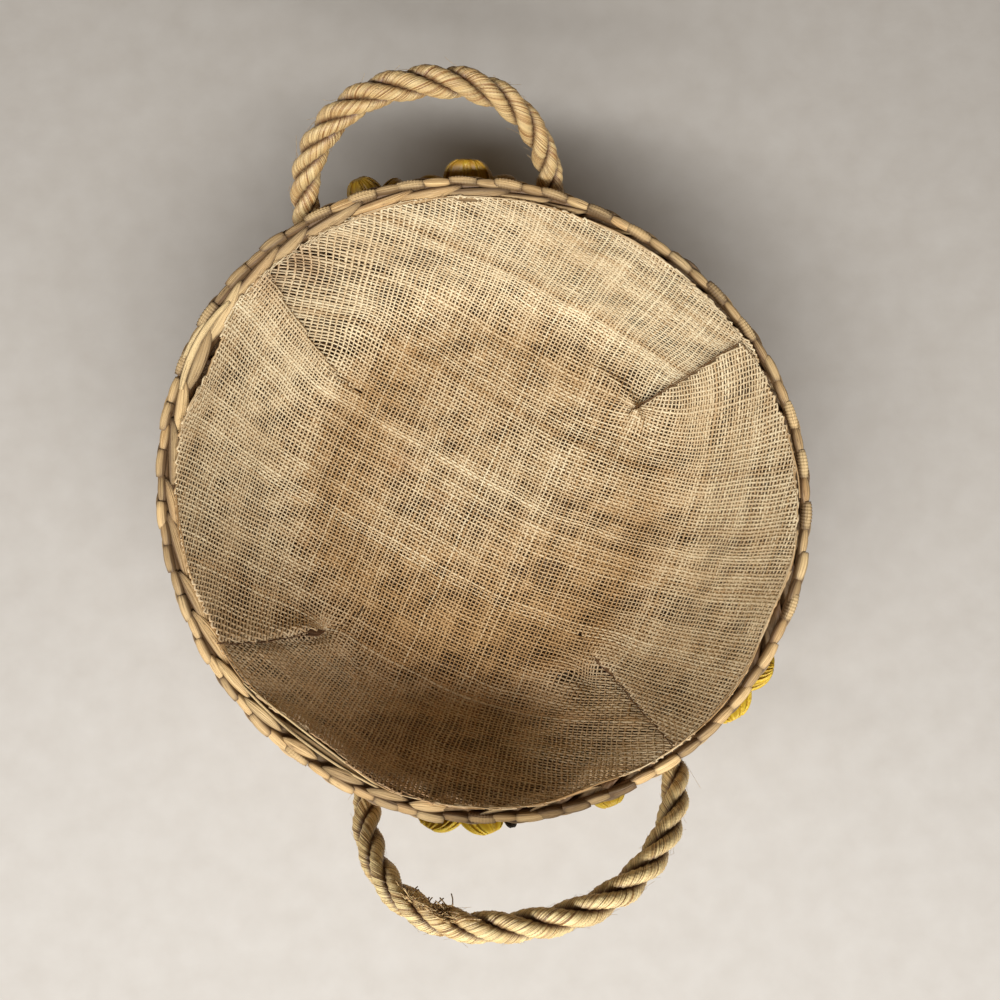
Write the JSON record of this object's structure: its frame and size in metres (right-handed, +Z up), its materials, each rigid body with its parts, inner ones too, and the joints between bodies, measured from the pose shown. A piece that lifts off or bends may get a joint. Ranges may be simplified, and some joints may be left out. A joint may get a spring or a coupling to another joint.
{
  "type": "casserole carrier basket",
  "caption": "Round open basket of sewn straw plait with a loose open-weave cloth lining, two swinging rope handles and raffia flowers, for carrying a hot dish to the table.",
  "frame": {"origin": "middle of the flat underside, on the table", "axes": "+Z up, +Y towards the narrower (rear) handle, +X to the right when the wider handle is nearest"},
  "size_m": [0.2962, 0.3682, 0.1348],
  "materials": {
    "straw_plait": "satin",
    "lining_cloth": "matte",
    "rope": "satin",
    "lashing_cord": "matte",
    "yellow_raffia": "satin",
    "dark_raffia": "satin"
  },
  "bodies": {
    "basket": {"base_start": "straw_plait", "base_round_1": "straw_plait", "base_round_2": "straw_plait", "base_round_3": "straw_plait", "base_round_4": "straw_plait", "wall_round_1": "straw_plait", "wall_round_2": "straw_plait", "wall_round_3": "straw_plait", "rim_round": "straw_plait", "lining": "lining_cloth", "rear_left_tail": "rope", "rear_right_tail": "rope", "front_left_tail": "rope", "front_right_tail": "rope", "rear_left_lashing": "lashing_cord", "rear_right_lashing": "lashing_cord", "front_left_lashing": "lashing_cord", "front_right_lashing": "lashing_cord", "flower_rear_right_petals": "yellow_raffia", "flower_rear_left_petals": "yellow_raffia", "flower_front_left_petals": "yellow_raffia", "flower_front_right_petals": "yellow_raffia", "flower_side_right_petals": "yellow_raffia", "flower_rear_right_centre": "dark_raffia", "flower_rear_left_centre": "dark_raffia", "flower_front_left_centre": "dark_raffia", "flower_front_right_centre": "dark_raffia", "flower_side_right_centre": "dark_raffia", "dark_leaf": "dark_raffia"},
    "rear_handle": {"rear_rope": "rope"},
    "front_handle": {"front_rope": "rope"}
  },
  "joints": [
    {"name": "rear_handle_swing", "type": "hinge", "parent": "basket", "child": "rear_handle", "pos_m": [-0.00317, 0.13956, 0.05695], "axis": [-0.9997, -0.0227, 0], "range_deg": [-18, 78]},
    {"name": "front_handle_swing", "type": "hinge", "parent": "basket", "child": "front_handle", "pos_m": [-0.003, -0.13222, 0.05695], "axis": [0.9997, -0.0227, 0], "range_deg": [-18, 78]}
  ]
}
